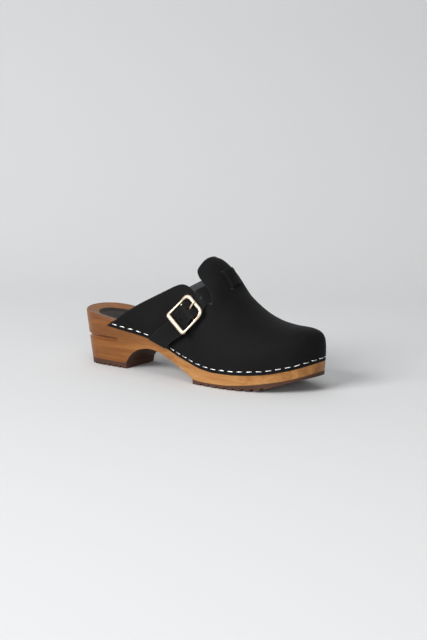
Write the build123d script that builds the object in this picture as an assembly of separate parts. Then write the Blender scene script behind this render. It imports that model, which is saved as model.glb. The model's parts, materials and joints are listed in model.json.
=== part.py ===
"""Wooden clog for a right foot: a closed-toe leather upper stapled round a carved wooden sole, with an
instep strap laced through the tongue and a buckle on the outer side.

Working axes: X runs from the back of the heel towards the toe, Y from the outer (-) to the inner (+) side of
the foot, Z up from the ground. Everything is drawn with X = 0 at the back of the heel and Y = 0 on the heel's
centre line; the last section moves it so that the origin is under the middle of the whole clog.
"""

import os
from math import atan2, cos, hypot, pi, radians, sin

from build123d import *

# ---------------------------------------------------------------- driving dimensions (mm)
LENGTH = 253.0
TOE_TIP_Y = 10.0  # the toe leans this far towards the inner side
HEEL_ROUND = 32.0  # the back of the heel is a half superellipse this long
OUTER_BALL_X = 168.0  # widest place on the outer side
INNER_BALL_X = 182.0  # widest place on the inner side

UPPER_THICKNESS = 2.0
STRAP_THICKNESS = 1.8
TAB_THICKNESS = 1.2
FIT_GAP = 0.05  # between faces that lie on each other

TAIL_X = 39.4  # where the leather of the upper begins
TOE_CENTRE_X = 200.0  # the ribs of the toe cap fan out from here
RIB_LENGTH = 72.0  # scale of the coordinate that runs down a rib, ridge to lower edge

HEEL_OUTSOLE_THICKNESS = 5.9
HEEL_OUTSOLE_BACK_X = 4.0
HEEL_BREAST_X = 58.3
FORE_OUTSOLE_X = 144.0
TREAD_WIDTH, TREAD_DEPTH = 3.0, 1.8
FORE_TREAD_PITCH, HEEL_TREAD_PITCH = 8.5, 6.5

STAPLE_CROWN, STAPLE_LEG, STAPLE_WIRE = 5.6, 8.0, 0.9
STAPLE_PITCH, STAPLE_HEIGHT = 8.7, 3.6

SLIT_Y, SLIT_WIDTH = 8.9, 3.2
SLIT_X = (153.7, 165.2)
STRAP_WIDTH = 17.6
STRAP_TAIL_WIDTH = 22.0

BUCKLE_CENTRE = Vector(135.9, -41.1, 64.9)
BUCKLE_ALONG = Vector(0.586, 0.332, 0.739)  # from the keeper bar up to the top bar
BUCKLE_ACROSS = Vector(0.810, -0.194, -0.554)
KEEPER_AT, TOP_BAR_AT, CENTRE_BAR_AT = -13.6, 13.0, 2.2  # along the buckle
KEEPER_RISE, TOP_BAR_RISE, CENTRE_BAR_RISE = 0.6, 1.4, -1.0  # out of the buckle's plane
KEEPER_RADIUS, TOP_BAR_RADIUS, SIDE_RADIUS, CENTRE_BAR_RADIUS = 2.1, 1.7, 1.3, 1.2
KEEPER_HALF, TOP_HALF = 12.6, 12.0
PRONG_RADIUS, PRONG_RING_RADIUS, PRONG_RING_WIDTH = 1.0, 2.3, 3.4
PIVOT_CLEARANCE = 0.06
MOVING_GAP = 0.35  # between moving pieces that are not a fit

# ---------------------------------------------------------------- smooth tables


def smooth(table):
    """A function that runs smoothly through a table of (place, value) and never overshoots it."""
    places, values = [p for p, _ in table], [v for _, v in table]
    spans = [b - a for a, b in zip(places, places[1:])]
    slopes = [(b - a) / s for a, b, s in zip(values, values[1:], spans)]
    bends = [slopes[0]]
    for (s0, s1), (k0, k1) in zip(zip(spans, spans[1:]), zip(slopes, slopes[1:])):
        if k0 * k1 <= 0:
            bends.append(0.0)
        else:
            w0, w1 = 2 * s1 + s0, s1 + 2 * s0
            bends.append((w0 + w1) / (w0 / k0 + w1 / k1))
    bends.append(slopes[-1])

    def value(place):
        if place <= places[0]:
            return values[0]
        if place >= places[-1]:
            return values[-1]
        i = max(k for k, p in enumerate(places[:-1]) if p <= place)
        t = (place - places[i]) / spans[i]
        return (
            values[i] * (1 + 2 * t) * (1 - t) ** 2
            + bends[i] * spans[i] * t * (1 - t) ** 2
            + values[i + 1] * t * t * (3 - 2 * t)
            + bends[i + 1] * spans[i] * t * t * (t - 1)
        )

    return value


def smooth_step(t):
    t = min(max(t, 0.0), 1.0)
    return t * t * (3 - 2 * t)


def superellipse(share, power):
    """Height of a unit superellipse at this share of its length."""
    return max(1 - min(max(share, 0.0), 1.0) ** power, 0.0) ** (1 / power)


# Half breadths of the sole, and heights along it: place from the back of the heel, value.
outer_breadth = smooth([(32, 33), (48, 33.4), (85, 30), (100, 31.2), (130, 38.6), (150, 43), (168, 44.3)])
inner_breadth = smooth([(32, 33), (48, 31.9), (85, 27), (100, 26.5), (130, 33), (160, 43), (182, 47)])
lower_edge_z = smooth(
    [(20, 42.7), (41, 41), (60, 38.4), (80, 35), (100, 30.4), (120, 24.3), (140, 19.3), (155, 15.8),
     (170, 14.2), (185, 14.3), (200, 15.2), (215, 16.8), (228, 19.4), (240, 22.6), (253, 27.5)]
)  # lower edge of the leather
rim_z = smooth(
    [(0, 54.0), (20, 51.5), (41, 48.4), (60, 45.7), (80, 42.3), (100, 37.7), (120, 31.8), (140, 27),
     (155, 23.5), (170, 21.9), (185, 22), (200, 23), (215, 24.5), (228, 27), (240, 30), (253, 34.5)]
)  # upper edge of the wood
dish_depth = smooth([(0, 5.5), (40, 5.5), (90, 2.5), (140, 3), (200, 3.5), (253, 3)])
dish_half = smooth([(0, 31), (32, 31), (85, 26), (100, 26), (130, 34), (168, 43), (200, 42), (253, 34)])
side_draft = smooth([(0, 7.0), (12, 8.0), (30, 9.5), (58, 9.0), (80, 4.0), (110, 2.0), (253, 1.2)])

# The upper: height of its ridge, how fast it falls away sideways, how square its shoulders are, and how far
# the ridge lies from the heel's centre line.
ridge_z = smooth(
    [(100, 124), (125, 118.5), (138, 113.6), (144, 111.9), (150, 107.8), (156, 102), (162, 93.4), (168, 84.8),
     (175, 78), (184, 70.9), (196, 64.0), (210, 59.3), (225, 57.4), (240, 58.0), (254, 59.5)]
)
crown_fall = smooth([(60, 0.012), (120, 0.014), (150, 0.0145), (180, 0.0118), (220, 0.0075), (250, 0.006)])
shoulder = smooth([(60, 2.3), (130, 2.3), (150, 2.5), (180, 3.4), (220, 4.2), (260, 4.2)])
ridge_y = smooth([(140, 0), (200, 3), (252, TOE_TIP_Y)])

# ---------------------------------------------------------------- plan outline


def outer_edge(x):
    if x < HEEL_ROUND:
        return -outer_breadth(HEEL_ROUND) * superellipse(1 - x / HEEL_ROUND, 2.2)
    if x < OUTER_BALL_X:
        return -outer_breadth(x)
    share = (x - OUTER_BALL_X) / (LENGTH - OUTER_BALL_X)
    return TOE_TIP_Y - (outer_breadth(OUTER_BALL_X) + TOE_TIP_Y) * superellipse(share, 1.95)


def inner_edge(x):
    if x < HEEL_ROUND:
        return inner_breadth(HEEL_ROUND) * superellipse(1 - x / HEEL_ROUND, 2.2)
    if x < INNER_BALL_X:
        return inner_breadth(x)
    share = (x - INNER_BALL_X) / (LENGTH - INNER_BALL_X)
    return TOE_TIP_Y + (inner_breadth(INNER_BALL_X) - TOE_TIP_Y) * superellipse(share, 1.9)


def outline(stations):
    """Points round the sole: from the back of the heel along the outer side, round the toe and back."""
    places = [LENGTH * (1 - cos(pi * k / stations)) / 2 for k in range(stations + 1)]
    outer = [(x, outer_edge(x)) for x in places]
    inner = [(x, inner_edge(x)) for x in reversed(places)]
    return outer[:-1] + inner[:-1]


def inset(points, depths):
    """A closed outline moved inwards, by its own depth at each point."""
    moved = []
    for k, (x, y) in enumerate(points):
        (x0, y0), (x1, y1) = points[k - 1], points[(k + 1) % len(points)]
        run = hypot(x1 - x0, y1 - y0)
        depth = depths[k]
        moved.append((x - (y1 - y0) / run * depth, y + (x1 - x0) / run * depth))
    return moved


def outline_face(z, margin=0.0):
    """The sole's outline at this height, with its sides drawn in towards the ground."""
    points = outline(26)
    depths = [margin + side_draft(x) * (rim_z(x) - z) / rim_z(x) for x, _ in points]
    wire = Wire(Spline(*[(x, y, z) for x, y in inset(points, depths)], periodic=True).edge())
    return Face(wire)


def outline_solid(margin=0.0):
    return Solid.make_loft([outline_face(z, margin).outer_wire() for z in (-1.0, 62.0)], ruled=True)


# ---------------------------------------------------------------- helpers for side profiles and surfaces

ALL_ACROSS = 70.0  # half the width of a cut that goes right across the clog


def across(*edges):
    """A solid that goes right across the clog, from a closed side profile drawn in X and Z."""
    face = Face(Wire(edges))
    return Solid.extrude(face, Vector(0, 2 * ALL_ACROSS, 0))


def side_points(table):
    return [(x, -ALL_ACROSS, z) for x, z in table]


def side_line(*table):
    return Polyline(*side_points(table)).edges()


def side_curve(*table):
    return [Spline(*side_points(table)).edge()]


def table_curve(function, places):
    return side_curve(*[(x, function(x)) for x in places])


def height_field(function, shift=0.0):
    """The space above a surface given as height over X and Y."""
    rows = [[Vector(x, y, function(x, y) + shift) for y in range(-56, 61, 6)] for x in range(-12, 267, 6)]
    face = Face.make_surface_from_array_of_points(rows, tol=0.05, min_deg=3, max_deg=3)
    return Solid.extrude(face, Vector(0, 0, 120))


def footbed_z(x, y):
    """The footbed: level with the rim at the sides, dished in between."""
    sideways = min(abs(y - ridge_y(x)) / dish_half(x), 1.0)
    dish = (1 - sideways**2) ** 2 * smooth_step(x / 26) * smooth_step((LENGTH - x) / 30)
    return rim_z(x) - dish_depth(x) * dish


# ---------------------------------------------------------------- wooden sole and outsoles


def underside(z_forefoot):
    """Side profile below the wood: heel seat, breast, waist and forefoot."""
    breast = side_curve((HEEL_BREAST_X, HEEL_OUTSOLE_THICKNESS), (61.5, 11), (67, 17), (76, 22), (87, 23.8),
                        (98, 22.4), (110, 18.4), (125, 13.4), (138, 7.9), (147, 4.2))
    forefoot = table_curve(z_forefoot, (147, 155, 165, 175, 190, 205, 220, 235, 256))
    return breast + forefoot


wood_bottom_z = smooth([(147, 4.2), (160, 3.7), (175, 3.8), (190, 4.9), (205, 6.7), (220, 9.4), (235, 12.6),
                        (253, 18.4), (256, 19.2)])
rubber_bottom_z = smooth([(147, 0), (190, 0), (200, 0.7), (212, 2.0), (224, 5.7), (238, 10.6), (256, 15.3)])


def make_wooden_sole():
    heel_seat = side_line((-10, HEEL_OUTSOLE_THICKNESS), (HEEL_BREAST_X, HEEL_OUTSOLE_THICKNESS))
    whole = across(
        *heel_seat, *underside(wood_bottom_z), *side_line((256, 19.2), (256, 70), (-10, 70),
                                                          (-10, HEEL_OUTSOLE_THICKNESS))
    )
    below_leather = across(
        *side_line((TAIL_X, lower_edge_z(TAIL_X)), (TAIL_X - 6, 70), (-10, 70), (-10, -5), (256, -5),
                   (256, lower_edge_z(256))),
        *table_curve(lower_edge_z, (256, 240, 228, 215, 200, 185, 170, 155, 140, 120, 100, 80, 60, TAIL_X)),
    )
    rebate = UPPER_THICKNESS + FIT_GAP
    body = (outline_solid() & below_leather) + outline_solid(rebate)
    body = body & whole
    body = body - height_field(footbed_z)
    return body - heel_groove() - sock_recess()


GROOVE_Z, GROOVE_RADIUS, GROOVE_END_X = 28.0, 1.7, 50.0


def heel_groove():
    """A half-round groove round the back of the heel."""
    points = outline(26)
    depths = [side_draft(x) * (rim_z(x) - GROOVE_Z) / rim_z(x) for x, _ in points]
    ring = inset(points, depths)
    outer = [p for p in ring[1: len(ring) // 2] if p[0] < GROOVE_END_X]
    inner = [p for p in ring[len(ring) // 2:] if p[0] < GROOVE_END_X]
    route = [(x, y, GROOVE_Z) for x, y in reversed(outer)] + [(ring[0][0], ring[0][1], GROOVE_Z)]
    route += [(x, y, GROOVE_Z) for x, y in reversed(inner)]
    path = Spline(*route).edge()
    start = Plane(origin=path @ 0, z_dir=path % 0)
    tube = sweep(start * Circle(GROOVE_RADIUS), path=path)
    ends = [Pos(*route[k]) * Sphere(GROOVE_RADIUS) for k in (0, -1)]
    return tube + ends


def sock_outline(margin=0.0):
    """Plan of the heel pad: a long oval, narrower towards the waist."""
    back, front, half_back, half_front = 11.0, 92.0, 18.5, 15.0
    points = [(back, 0), (16, -11.5), (30, -half_back), (60, -17.5), (84, -half_front + 1.5), (front, -1),
              (84, half_front - 3.5), (60, 16), (30, half_back), (16, 11.5)]
    moved = inset(points, [margin] * len(points))
    return Face(Wire(Spline(*[(x, y, 0) for x, y in moved], periodic=True).edge()))


SOCK_RECESS, SOCK_LEATHER = 3.2, 1.2


def sock_column(margin=0.0):
    return Solid.extrude(sock_outline(margin), Vector(0, 0, 90))


def sock_recess():
    return sock_column() & height_field(footbed_z, -SOCK_RECESS)


def make_sock_foam():
    column = sock_column(FIT_GAP) & height_field(footbed_z, FIT_GAP - SOCK_RECESS)
    return column - height_field(footbed_z, -SOCK_LEATHER)


def make_sock_lining():
    column = sock_column(FIT_GAP) & height_field(footbed_z, FIT_GAP - SOCK_LEATHER)
    return column - height_field(footbed_z, 0.3)


def tread(first, count, pitch, bottom_z):
    """Corners of a tread's underside: flat lands with a square groove before each but the first."""
    corners = []
    for k in range(count):
        x = first + k * pitch
        z = bottom_z(x)
        corners += [(x, z), (x, z + TREAD_DEPTH), (x + TREAD_WIDTH, z + TREAD_DEPTH),
                    (x + TREAD_WIDTH, bottom_z(x + TREAD_WIDTH))]
    return corners


def make_heel_outsole():
    grooves = tread(10.5, 7, HEEL_TREAD_PITCH, lambda x: 0.0)
    block = across(
        *side_line((HEEL_OUTSOLE_BACK_X, 0), *grooves, (HEEL_BREAST_X, 0),
                   (HEEL_BREAST_X, HEEL_OUTSOLE_THICKNESS),
                   (HEEL_OUTSOLE_BACK_X, HEEL_OUTSOLE_THICKNESS), (HEEL_OUTSOLE_BACK_X, 0))
    )
    return outline_solid() & block


def make_forefoot_outsole():
    grooves = tread(153.5, 8, FORE_TREAD_PITCH, rubber_bottom_z)
    toe = [(x, rubber_bottom_z(x)) for x in (222, 230, 238, 247, 256)]
    block = across(
        *side_line((FORE_OUTSOLE_X, 0), *grooves, *toe, (256, wood_bottom_z(256))),
        *table_curve(wood_bottom_z, (256, 235, 220, 205, 190, 175, 165, 155, FORE_OUTSOLE_X)),
        *side_line((FORE_OUTSOLE_X, wood_bottom_z(FORE_OUTSOLE_X)), (FORE_OUTSOLE_X, 0)),
    )
    return outline_solid() & block


# ---------------------------------------------------------------- the upper's surface


def toe_edge_point(angle):
    """Where a toe rib that leaves the toe centre at this angle meets the outline."""
    low, high = 0.0, 90.0
    for _ in range(30):
        reach = (low + high) / 2
        x, y = TOE_CENTRE_X + reach * cos(angle), ridge_y(TOE_CENTRE_X) + reach * sin(angle)
        inside = x < LENGTH and outer_edge(x) < y < inner_edge(x)
        low, high = (reach, high) if inside else (low, reach)
    return x, y


def upper_point(along, down):
    """A point on the outside of the upper.

    along is the distance from the back of the heel and down the distance from the ridge, negative on the outer
    side; past the toe centre the two are the coordinates of a fan of ribs.
    """
    if along > TOE_CENTRE_X:
        rib = hypot(along - TOE_CENTRE_X, down) / RIB_LENGTH
        edge_x, edge_y = toe_edge_point(atan2(down, along - TOE_CENTRE_X))
        root_x = TOE_CENTRE_X
    else:
        rib = abs(down) / RIB_LENGTH
        edge_x, edge_y = along, outer_edge(along) if down < 0 else inner_edge(along)
        root_x = along
    root_y = ridge_y(root_x)
    power = shoulder(root_x if along <= TOE_CENTRE_X else TOE_CENTRE_X + (edge_x - TOE_CENTRE_X) / 2)
    corner = 2 ** (-1 / power)
    if rib < 0.5:
        out = 2 * rib * corner
        up = superellipse(out, power)
    else:
        up = 2 * (1 - rib) * corner
        out = superellipse(max(up, 0.0), power)
    x, y = root_x + (edge_x - root_x) * out, root_y + (edge_y - root_y) * out
    foot = lower_edge_z(edge_x)
    top = ridge_z(x) - crown_fall(x) * (y - ridge_y(x)) ** 2
    return Vector(x, y, foot + up * (top - foot))


def upper_normal(along, down):
    """Outward direction of the upper's surface."""
    step = 0.4
    forward = upper_point(along + step, down) - upper_point(along - step, down)
    sideways = upper_point(along, down + step) - upper_point(along, down - step)
    return forward.cross(sideways).normalized()


def on_upper(along, down, lift=0.0):
    return upper_point(along, down) + upper_normal(along, down) * lift


def skin(rows):
    """A smooth face through a grid of points."""
    return Face.make_surface_from_array_of_points(rows, tol=0.1, min_deg=3, max_deg=5)


def thickened(face, thickness, outward):
    """The face given a thickness towards this direction."""
    spot = face.position_at(0.5, 0.5)
    side = 1 if face.normal_at(spot).dot(outward) > 0 else -1
    return Solid.thicken(face, side * thickness)


def upper_sheet(first, last, depth, thickness):
    """A stretch of the upper's surface, sunk by depth and given a thickness inwards."""
    steps_along, steps_down, reach = int((last - first) / 4), 44, RIB_LENGTH + 2
    rows = []
    for i in range(steps_along + 1):
        along = first + (last - first) * i / steps_along
        rows.append([on_upper(along, (2 * j / steps_down - 1) * reach, -depth) for j in range(steps_down + 1)])
    return thickened(skin(rows), thickness, Vector(0, 0, -1))


def above_lower_edge(function, shift=0.0):
    """The space above an edge line, right across the clog."""
    places = (20, TAIL_X, 60, 80, 100, 120, 140, 155, 170, 185, 200, 215, 228, 240, 262)
    return across(
        *side_curve(*[(x, function(x) + shift) for x in places]),
        *side_line((262, function(262) + shift), (262, 160), (20, 160), (20, function(20) + shift)),
    )


def opening():
    """Side profile of what is cut away for the foot: top line, notch for the strap and end of the tongue."""
    top_line = side_curve((TAIL_X - 3, 38.4), (56, 53.1), (72, 64.2), (86, 72.2), (102.5, 81), (113, 86.5),
                          (121, 89.1), (128, 88.2), (134, 85), (141, 79.7), (149, 75.6), (157.4, 74.4))
    tongue = side_curve((157.4, 74.4), (152.2, 84.2), (146.5, 89.8), (141.2, 93.8), (136.2, 97.6), (133, 102.6),
                        (134.2, 108.4), (137.2, 113.2), (141, 118))
    close = side_line((141, 118), (141, 150), (10, 150), (10, 38.4), (TAIL_X - 3, 38.4))
    return across(*top_line, *tongue, *close)


def slit(side):
    middle = (SLIT_X[0] + SLIT_X[1]) / 2
    return Pos(middle, side * SLIT_Y, 95) * Box(SLIT_X[1] - SLIT_X[0], SLIT_WIDTH, 50)


def make_upper():
    sheet = upper_sheet(34, 274, 0, UPPER_THICKNESS)
    return (sheet & above_lower_edge(lower_edge_z)) - opening() - slit(1) - slit(-1)


# ---------------------------------------------------------------- buckle


BUCKLE_OUT = BUCKLE_ACROSS.cross(BUCKLE_ALONG).normalized()
BUCKLE_ALONG = BUCKLE_ALONG.normalized()
BUCKLE_ACROSS = BUCKLE_ALONG.cross(BUCKLE_OUT)


def in_buckle(along, side, out):
    return BUCKLE_CENTRE + BUCKLE_ALONG * along + BUCKLE_ACROSS * side + BUCKLE_OUT * out


def rod(start, end, radius):
    """A round bar with ball ends."""
    plane = Plane(origin=start, z_dir=end - start)
    bar = Solid.make_cylinder(radius, (end - start).length, plane)
    balls = [Pos(*point) * Sphere(radius) for point in (start, end)]
    return bar + balls


def make_buckle_frame():
    """Thick keeper bar, two thin side bars that dip to the centre bar, and a round-cornered top bar."""
    frame = rod(in_buckle(KEEPER_AT, -KEEPER_HALF, KEEPER_RISE), in_buckle(KEEPER_AT, KEEPER_HALF, KEEPER_RISE),
                KEEPER_RADIUS)
    corner = 3.2
    for side in (-1, 1):
        low = in_buckle(KEEPER_AT, side * KEEPER_HALF, KEEPER_RISE)
        dip = in_buckle(CENTRE_BAR_AT, side * bar_half_length(), CENTRE_BAR_RISE + 0.3)
        bend = in_buckle(TOP_BAR_AT - corner, side * TOP_HALF, TOP_BAR_RISE)
        turn = in_buckle(TOP_BAR_AT - corner * 0.3, side * (TOP_HALF - corner * 0.3), TOP_BAR_RISE)
        top = in_buckle(TOP_BAR_AT, side * (TOP_HALF - corner), TOP_BAR_RISE)
        frame = frame + rod(low, dip, SIDE_RADIUS) + rod(dip, bend, SIDE_RADIUS)
        frame = frame + rod(bend, turn, TOP_BAR_RADIUS) + rod(turn, top, TOP_BAR_RADIUS)
    ends = [in_buckle(TOP_BAR_AT, side * (TOP_HALF - corner), TOP_BAR_RISE) for side in (-1, 1)]
    return frame + rod(ends[0], ends[1], TOP_BAR_RADIUS)


def bar_half_length():
    share = (CENTRE_BAR_AT - KEEPER_AT) / (TOP_BAR_AT - KEEPER_AT)
    return KEEPER_HALF + (TOP_HALF - KEEPER_HALF) * share


def pivot(side=0.0):
    return in_buckle(CENTRE_BAR_AT, side, CENTRE_BAR_RISE)


def cylinder_on_pivot(radius, width):
    start = pivot(-width / 2)
    return Solid.make_cylinder(radius, width, Plane(origin=start, z_dir=BUCKLE_ACROSS))


def make_centre_bar():
    return cylinder_on_pivot(CENTRE_BAR_RADIUS, 2 * bar_half_length())


def make_prong():
    """A ring on the centre bar and a bent prong that rests on the top bar."""
    ring = cylinder_on_pivot(PRONG_RING_RADIUS, PRONG_RING_WIDTH)
    rest = TOP_BAR_RISE + TOP_BAR_RADIUS + PRONG_RADIUS + MOVING_GAP
    root = in_buckle(CENTRE_BAR_AT + 1.3, 0, CENTRE_BAR_RISE + 0.6)
    bend = in_buckle(TOP_BAR_AT - 4.1, 0, rest - 0.35)
    tip = in_buckle(TOP_BAR_AT + 1.8, 0, rest + 0.15)
    prong = ring + rod(root, bend, PRONG_RADIUS) + rod(bend, tip, PRONG_RADIUS)
    return prong - cylinder_on_pivot(CENTRE_BAR_RADIUS + PIVOT_CLEARANCE, 3 * PRONG_RING_WIDTH)


# ---------------------------------------------------------------- strap and buckle tab

SLOPE_ACROSS = Vector(0.575, 0, -0.818)  # the strap's width where it crosses the tongue
TAIL_ACROSS = Vector(0.967, -0.146, -0.257)  # its end is cut along the edge of the sole
BESIDE_ACROSS = Vector(0.84, 0, -0.54)  # and where it lies on the quarters
HOLE_RADIUS = 1.5
HOLE_AT = (-7.8, 19.6)  # along the buckle; the prong's own hole is a slot
PRONG_SLOT_AT, PRONG_SLOT_LENGTH = 6.4, 7.0


def strap_stations():
    """(centre, width direction, width) along the strap, from its free end to its fixed inner end."""
    middle = (SLIT_X[0] + SLIT_X[1]) / 2
    half = STRAP_THICKNESS / 2
    rest = half + 0.15
    under = -UPPER_THICKNESS - FIT_GAP - half
    stations = [
        (Vector(100.6, -35.8, 31.5), TAIL_ACROSS, STRAP_TAIL_WIDTH),
        (Vector(113.0, -40.4, 42.4), (TAIL_ACROSS + BUCKLE_ACROSS) / 2, STRAP_TAIL_WIDTH - 1),
    ]
    threaded = [(KEEPER_AT, -3.4), (-7.6, -0.4), (-2.0, 2.1), (CENTRE_BAR_AT, 2.8), (6.4, 1.3), (10.3, -1.2),
                (TOP_BAR_AT, -2.1)]
    for along, out in threaded:
        width = STRAP_WIDTH + (2.0 if along < -5 else 0.0)
        stations.append((in_buckle(along, 0.6, out), BUCKLE_ACROSS, width))
    way = []
    for side in (-1, 1):
        way = [
            (on_upper(146.5, side * 34.4, rest), Vector(0.76, side * 0.05, -0.64), STRAP_WIDTH),
            (on_upper(152.9, side * 28.6, under), Vector(0.68, side * 0.05, -0.73), STRAP_WIDTH),
            (on_upper(157.3, side * 17.5, under), SLOPE_ACROSS, STRAP_WIDTH),
            (on_upper(middle, side * 11.2, under + 0.7), SLOPE_ACROSS, STRAP_WIDTH),
            (on_upper(middle, side * 6.6, half - 0.2), SLOPE_ACROSS, STRAP_WIDTH),
        ]
        if side < 0:
            stations += way + [(on_upper(middle, 0, rest), SLOPE_ACROSS, STRAP_WIDTH)]
    stations += way[::-1]
    for along, down in ((137, 41.5), (125, 51), (114, 60), (105, 71)):
        stations.append((on_upper(along, down, rest), BESIDE_ACROSS, STRAP_WIDTH + 1))
    return stations


def tab_stations():
    """The buckle tab: up the outer quarter, round the centre bar and back down onto itself."""
    half = TAB_THICKNESS / 2
    turn = CENTRE_BAR_RADIUS + MOVING_GAP + half
    stations = [
        (on_upper(104.5, -70, half + 0.1), TAIL_ACROSS, 15.0),
        (on_upper(113.5, -62, half + 0.1), (TAIL_ACROSS + BUCKLE_ACROSS) / 2, 15.0),
        (on_upper(123.5, -55, half + 0.1), BUCKLE_ACROSS, 15.0),
        (in_buckle(-8, 0, -6.4), BUCKLE_ACROSS, 15.0),
        (in_buckle(-3, 0, -4.2), BUCKLE_ACROSS, 15.0),
    ]
    for angle in (-90, -45, 0, 45, 90):
        along = CENTRE_BAR_AT + turn * cos(radians(angle))
        out = CENTRE_BAR_RISE + turn * sin(radians(angle))
        stations.append((in_buckle(along, 0, out), BUCKLE_ACROSS, 15.0))
    for along, out in ((-2.0, 0.1), (-6.0, -2.8), (-11.0, -5.6)):
        stations.append((in_buckle(along, 0, out), BUCKLE_ACROSS, 15.0))
    return stations


def ribbon(stations, thickness, steps):
    """A strap of even thickness through (centre, width direction, width) stations."""
    runs = [0.0]
    for (a, _, _), (b, _, _) in zip(stations, stations[1:]):
        runs.append(runs[-1] + (b - a).length)

    def channel(pick):
        return smooth([(run, pick(station)) for run, station in zip(runs, stations)])

    centre = [channel(lambda station, axis=axis: tuple(station[0])[axis]) for axis in range(3)]
    wide = [channel(lambda station, axis=axis: tuple(station[1])[axis]) for axis in range(3)]
    width = channel(lambda station: station[2])
    rows, outs = [], []
    for i in range(steps + 1):
        run = runs[-1] * i / steps
        before, here, after = (Vector(*[c(run + step) for c in centre]) for step in (-0.5, 0, 0.5))
        flat = Vector(*[w(run) for w in wide]).normalized()
        out = flat.cross(after - before).normalized()
        outs.append(out)
        middle = here - out * (thickness / 2)
        rows.append([middle + flat * (width(run) * k / 2) for k in (-1, -0.5, 0, 0.5, 1)])
    return thickened(skin(rows), thickness, outs[steps // 2])


def make_strap():
    strap = ribbon(strap_stations(), STRAP_THICKNESS, 140)
    for along in HOLE_AT:
        strap = strap - punch(along, HOLE_RADIUS)
    slot = [punch(PRONG_SLOT_AT + end * (PRONG_SLOT_LENGTH / 2 - HOLE_RADIUS), HOLE_RADIUS) for end in (-1, 1)]
    between = buckle_box(PRONG_SLOT_AT, PRONG_SLOT_LENGTH - 2 * HOLE_RADIUS, 2 * HOLE_RADIUS)
    return strap - slot - between


def punch(along, radius):
    """A round punch straight through the strap."""
    return Solid.make_cylinder(radius, 16, Plane(origin=in_buckle(along, 0, -7), z_dir=BUCKLE_OUT))


def buckle_box(along, length, width):
    """A box through the strap or tab, square to the buckle."""
    plane = Plane(origin=in_buckle(along, 0, 0), x_dir=BUCKLE_ALONG, z_dir=BUCKLE_OUT)
    return plane * Box(length, width, 14)


def make_buckle_tab():
    tab = ribbon(tab_stations(), TAB_THICKNESS, 70)
    return tab - buckle_box(CENTRE_BAR_AT + 2, 9, PRONG_RING_WIDTH + 2 * MOVING_GAP)


# ---------------------------------------------------------------- staples


def edge_run():
    """Points along the lower edge of the leather, from the outer tail round the toe to the inner tail."""
    points = [(x, y) for x, y in outline(120) if x > TAIL_X]
    return [Vector(x, y, lower_edge_z(x) + STAPLE_HEIGHT) for x, y in points]


def staple_places():
    """(point on the leather, direction along the edge) at each staple."""
    points = edge_run()
    runs = [0.0]
    for a, b in zip(points, points[1:]):
        runs.append(runs[-1] + (b - a).length)
    axes = [smooth([(run, tuple(point)[axis]) for run, point in zip(runs, points)]) for axis in range(3)]
    count = int((runs[-1] - 2 * STAPLE_PITCH) / STAPLE_PITCH)
    places = []
    for k in range(count + 1):
        run = STAPLE_PITCH + (runs[-1] - 2 * STAPLE_PITCH) * k / count
        before, here, after = (Vector(*[axis(run + step) for axis in axes]) for step in (-1, 0, 1))
        places.append((here, (after - before).normalized()))
    return places


def staple(point, along, lift):
    """A wire staple driven from outside: a crown on the leather and two legs into the wood."""
    inward = Vector(0, 0, 1).cross(along).normalized()
    plane = Plane(origin=point - inward * (lift + STAPLE_WIRE / 2), x_dir=along, z_dir=inward)
    crown = plane * Box(STAPLE_CROWN, STAPLE_WIRE, STAPLE_WIRE)
    legs = [
        plane
        * Pos(side * (STAPLE_CROWN - STAPLE_WIRE) / 2, 0, (STAPLE_LEG + lift) / 2)
        * Box(STAPLE_WIRE, STAPLE_WIRE, STAPLE_LEG + lift)
        for side in (-1, 1)
    ]
    return (crown + legs).solid()


def make_staples():
    """Three groups: on the upper alone, through the buckle tab, and through the strap's fixed end."""
    groups = {"upper_staples": [], "buckle_tab_staples": [], "strap_end_staples": []}
    for point, along in staple_places():
        if point.Y < 0 and 92 < point.X < 114:
            if 97 < point.X < 110:
                groups["buckle_tab_staples"].append(staple(point, along, TAB_THICKNESS + 0.15))
        elif point.Y > 0 and 94 < point.X < 116:
            if 97 < point.X < 114:
                groups["strap_end_staples"].append(staple(point, along, STRAP_THICKNESS + 0.15))
        else:
            groups["upper_staples"].append(staple(point, along, 0.0))
    return {name: Compound(children=solids) for name, solids in groups.items()}


# ---------------------------------------------------------------- all the pieces

PIECES = {
    "wooden_sole": make_wooden_sole(),
    "heel_outsole": make_heel_outsole(),
    "forefoot_outsole": make_forefoot_outsole(),
    "sock_foam": make_sock_foam(),
    "sock_lining": make_sock_lining(),
    "upper": make_upper(),
    "instep_strap": make_strap(),
    "buckle_tab": make_buckle_tab(),
    "buckle_frame": make_buckle_frame(),
    "buckle_centre_bar": make_centre_bar(),
    "buckle_prong": make_prong(),
}
PIECES.update(make_staples())

box = Compound(children=[Compound(children=piece.solids()) for piece in PIECES.values()]).bounding_box()
TO_ORIGIN = Vector(-(box.min.X + box.max.X) / 2, -(box.min.Y + box.max.Y) / 2, -box.min.Z)

os.makedirs("parts", exist_ok=True)
for name, piece in PIECES.items():
    solids = [solid.moved(Pos(*TO_ORIGIN)) for solid in piece.solids()]
    export_step(solids[0] if len(solids) == 1 else Compound(children=solids), f"parts/{name}.step")
print("moved by", TO_ORIGIN)
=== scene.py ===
import json
from math import atan2, cos, hypot, pi, radians, sin, sqrt

import bpy
from mathutils import Matrix, Vector
from mathutils.geometry import delaunay_2d_cdt


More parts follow.
